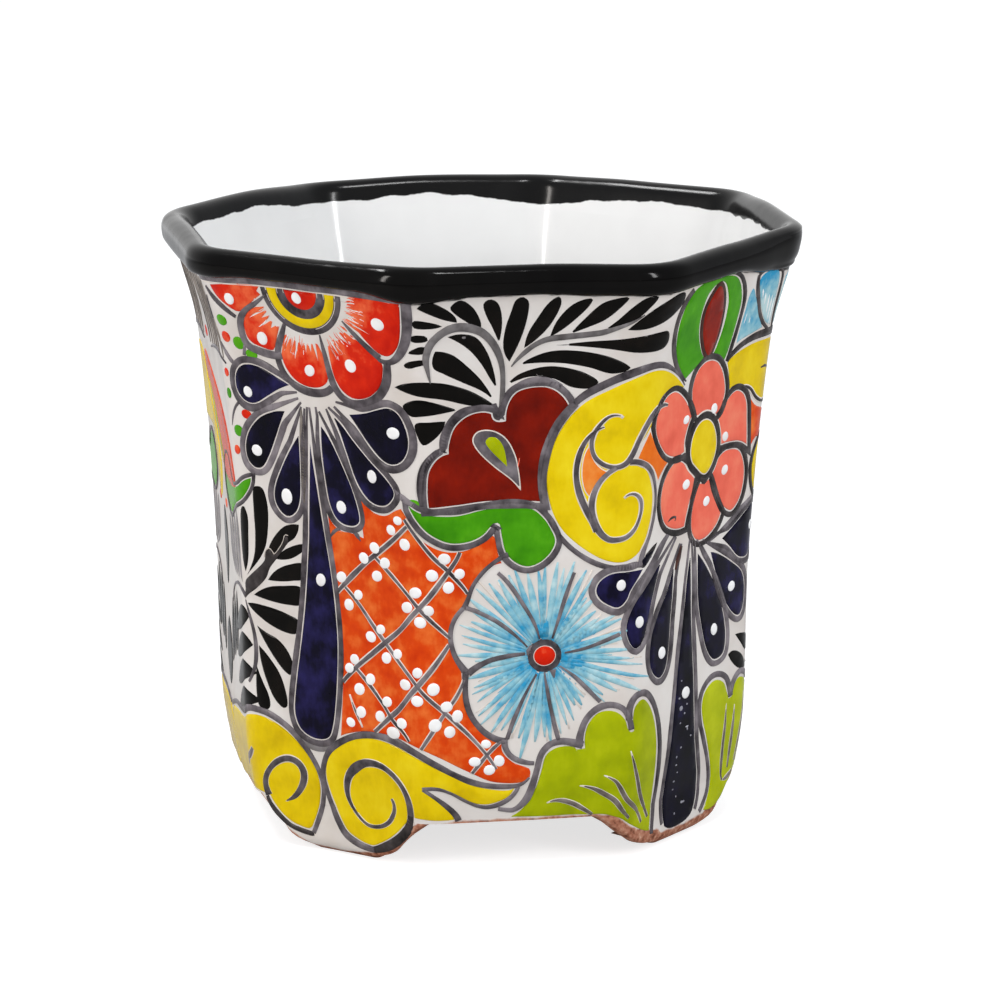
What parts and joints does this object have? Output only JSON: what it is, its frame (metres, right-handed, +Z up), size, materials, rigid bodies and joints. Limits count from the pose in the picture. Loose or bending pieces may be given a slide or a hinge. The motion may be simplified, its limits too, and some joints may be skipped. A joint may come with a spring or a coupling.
{
  "type": "ceramic planter",
  "caption": "Octagonal flared ceramic plant pot on bracket feet, with a rolled dark lip and hand-painted flowers and leaves on a white glaze.",
  "frame": {"origin": "on the ground, under the middle of the pot", "axes": "+Z up along the pot's axis; one flat side faces -Y, the side nearest the camera in the picture; the feet stand under the four diagonal sides"},
  "size_m": [0.2664, 0.2664, 0.26],
  "materials": {
    "white_glaze": "glossy warm white glaze, faintly mottled",
    "black_glaze": "glossy near-black glaze, brushed on by hand",
    "painted_glaze": "glossy coloured enamels in thin raised brush strokes",
    "bare_clay": "unglazed terracotta, matt"
  },
  "bodies": {
    "root": {"wall": "white_glaze", "rolled_lip": "black_glaze", "floor_slab": "white_glaze", "foot_front_left": "bare_clay", "foot_front_right": "bare_clay", "foot_rear_left": "bare_clay", "foot_rear_right": "bare_clay"}
  },
  "joints": []
}
